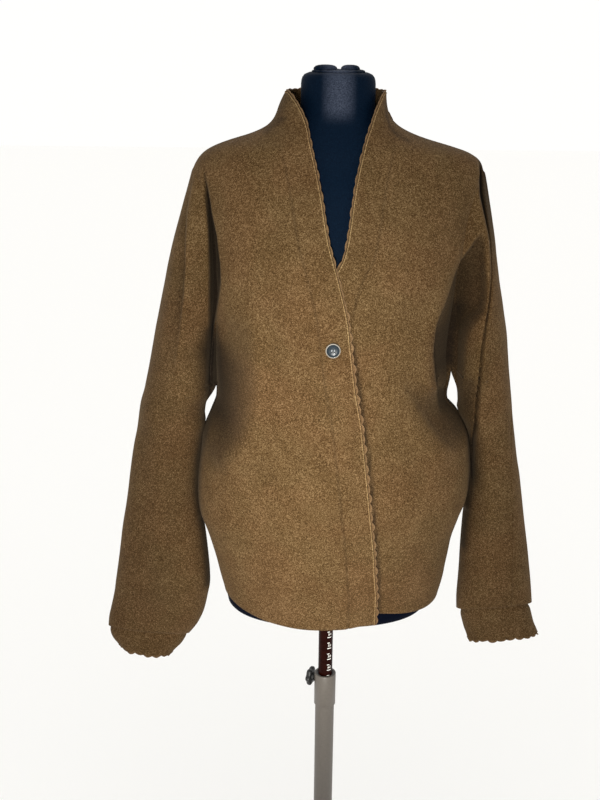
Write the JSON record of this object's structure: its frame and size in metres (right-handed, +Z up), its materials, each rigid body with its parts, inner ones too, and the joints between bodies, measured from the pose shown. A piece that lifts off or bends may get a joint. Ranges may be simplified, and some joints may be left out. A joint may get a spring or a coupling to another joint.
{
  "type": "wool jacket on a dress form stand",
  "caption": "Boiled-wool jacket with kimono sleeves, a V neck running into a grown-on collar and scalloped edges, worn by a limbless dress form on a height-adjustable pole stand.",
  "frame": {"origin": "middle of the base plate's underside, on the floor", "axes": "+Z up along the pole; the jacket's front faces -Y, so the wearer's right is at -X"},
  "size_m": [0.6885, 0.36, 1.4953],
  "materials": {
    "wool": "heathered brown boiled wool with a short soft nap",
    "edging": "crocheted wool edging, brown with a paler ridge",
    "jersey": "navy-black stretch jersey cover",
    "horn": "dark blue-grey imitation horn with a pale worn rim",
    "red_steel": "dark red-brown gloss paint with pale scale marks",
    "grey_steel": "light grey satin paint",
    "black_plastic": "black moulded plastic"
  },
  "bodies": {
    "stand": {"base_plate": "grey_steel", "tube_lower": "grey_steel", "tube_collar": "grey_steel"},
    "column": {"pole_upper": "red_steel"},
    "figure": {"form_torso": "jersey", "cover_gather": "jersey", "front_right": "wool", "front_left": "wool", "back": "wool", "cuff_right": "wool", "cuff_left": "wool", "edging_right": "edging", "edging_left": "edging", "edging_collar": "edging", "edging_cuff_right": "edging", "edging_cuff_left": "edging", "button": "horn"},
    "knob": {"clamp_knob": "black_plastic"}
  },
  "joints": [
    {"name": "height_slide", "type": "slide", "parent": "stand", "child": "column", "axis": [0, 0, 1], "range_m": [-0.1, 0.2]},
    {"name": "figure_swivel", "type": "hinge", "parent": "column", "child": "figure", "pos_m": [0, 0, 0.7], "axis": [0, 0, 1], "continuous": true},
    {"name": "knob_turn", "type": "hinge", "parent": "stand", "child": "knob", "pos_m": [0, 0, 0.529], "axis": [-0.9063, 0.4226, 0], "range_deg": [0, 360]}
  ]
}
